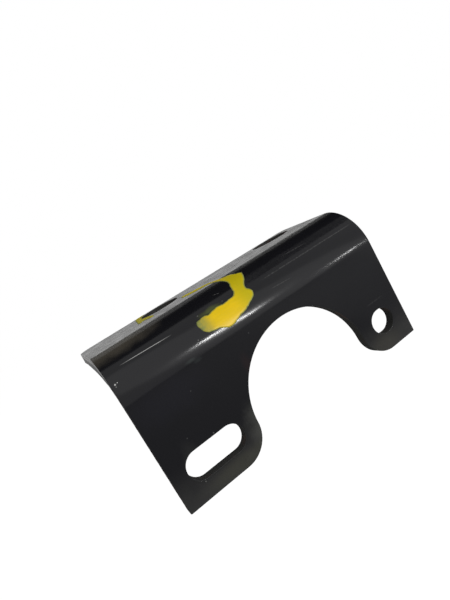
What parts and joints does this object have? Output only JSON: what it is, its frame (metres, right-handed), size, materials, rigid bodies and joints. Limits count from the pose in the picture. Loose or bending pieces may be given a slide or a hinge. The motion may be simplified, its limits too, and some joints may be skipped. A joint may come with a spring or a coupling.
{
  "type": "stamped metal bracket",
  "caption": "Angle bracket folded from thick sheet: a level flange with round holes, and a leg with an arched cut-out between a slotted ear and a pierced ear.",
  "frame": {"origin": "midway between the centres of the two flange holes, on the flange's outer face", "axes": "+X along the fold, from the slotted ear to the other ear; +Z square to the flange, out of its outer face; the leg hangs along -Z at the flange's front edge and faces -Y"},
  "size_m": [0.125, 0.0605, 0.065],
  "materials": {
    "black_paint": "gloss, worn and scuffed"
  },
  "bodies": {
    "root": {"bracket": "black_paint"}
  },
  "joints": []
}
